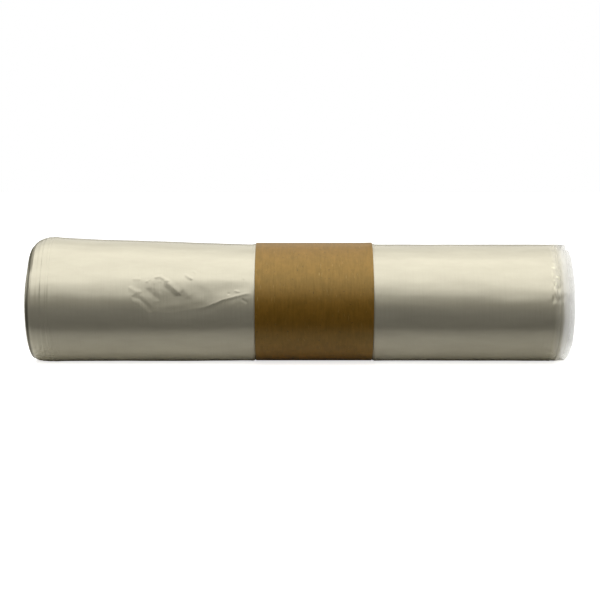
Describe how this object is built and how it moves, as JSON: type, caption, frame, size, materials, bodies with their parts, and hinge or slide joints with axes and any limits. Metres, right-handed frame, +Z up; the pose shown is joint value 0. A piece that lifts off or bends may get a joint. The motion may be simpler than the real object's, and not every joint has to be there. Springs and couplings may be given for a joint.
{
  "type": "bin bag roll",
  "caption": "Roll of clear film bags wound without a core, flared at the folded end, held by a plain kraft paper band.",
  "frame": {"origin": "on the surface that the roll lies on, under the middle of its length", "axes": "+X along the roll towards its loose-edge end, +Y to the back, +Z up"},
  "size_m": [0.3, 0.0706, 0.0699],
  "materials": {
    "clear_film": "satin, translucent at its loose edges",
    "kraft_paper": "matt, fibrous"
  },
  "bodies": {
    "root": {"film_roll": "clear_film", "paper_band": "kraft_paper"}
  },
  "joints": []
}
